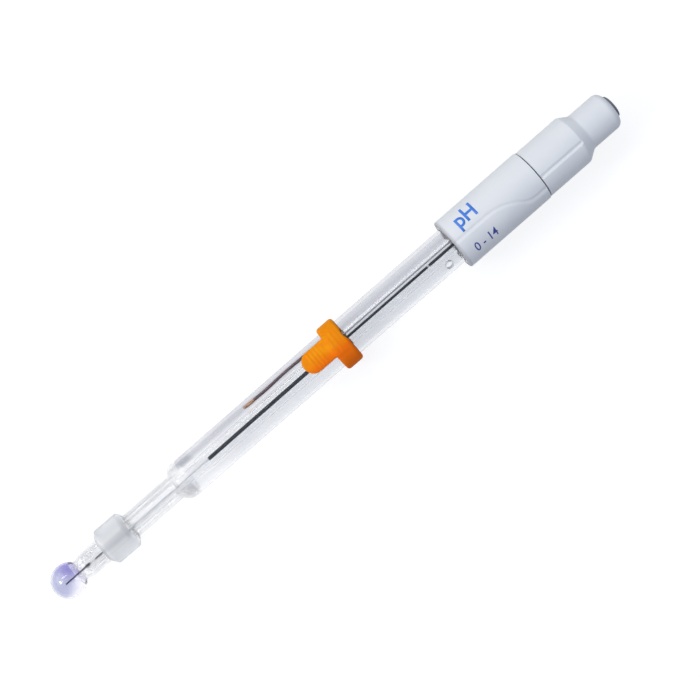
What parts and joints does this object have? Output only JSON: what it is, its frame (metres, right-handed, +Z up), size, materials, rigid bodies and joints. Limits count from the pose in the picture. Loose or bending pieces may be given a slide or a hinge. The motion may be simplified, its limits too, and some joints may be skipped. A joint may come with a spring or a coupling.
{
  "type": "combination pH electrode",
  "caption": "Refillable glass combination pH electrode with a round membrane bulb, a sliding junction sleeve, an orange fill-hole ring and a white two-piece cap with a coaxial socket.",
  "frame": {"origin": "on the bench under the middle of the lying electrode's box", "axes": "+X along the electrode from the bulb to the socket, +Z up from the bench, +Y to the side that the inset face of the cap looks to"},
  "size_m": [0.2136, 0.0164, 0.017],
  "materials": {
    "membrane_glass": "clear lavender glass",
    "clear_glass": "clear, fire polished",
    "sleeve_plastic": "hazy translucent, satin",
    "orange_silicone": "satin",
    "silver_wire": "drawn silver",
    "black_sleeving": "satin",
    "brown_insulation": "satin",
    "bare_copper": "bare, tarnished",
    "stopper_rubber": "matt",
    "cap_plastic": "white, semi-gloss",
    "dark_rubber": "matt",
    "socket_metal": "nickel plated",
    "insulator_plastic": "smooth",
    "contact_metal": "gilt"
  },
  "bodies": {
    "electrode": {"ph_bulb": "membrane_glass", "outer_tube": "clear_glass", "inner_tube": "clear_glass", "inner_wire": "silver_wire", "wire_sleeve_lower": "black_sleeving", "wire_sleeve_upper": "black_sleeving", "reference_wire": "brown_insulation", "reference_tip": "bare_copper", "tube_stopper": "stopper_rubber", "inner_plug": "stopper_rubber", "lower_cap": "cap_plastic", "upper_cap": "cap_plastic", "cap_seal": "dark_rubber", "socket_seal": "dark_rubber", "socket_shell": "socket_metal", "socket_insulator": "insulator_plastic", "centre_contact": "contact_metal"},
    "closure_ring": {"fill_ring": "orange_silicone"},
    "sleeve": {"junction_sleeve": "sleeve_plastic"}
  },
  "joints": [
    {"name": "fill_ring_slide", "type": "slide", "parent": "electrode", "child": "closure_ring", "axis": [0.9998, 0, 0.0175], "range_m": [-0.044, 0.039]},
    {"name": "junction_sleeve_slide", "type": "slide", "parent": "electrode", "child": "sleeve", "axis": [0.9998, 0, 0.0175], "range_m": [0, 0.016]}
  ]
}
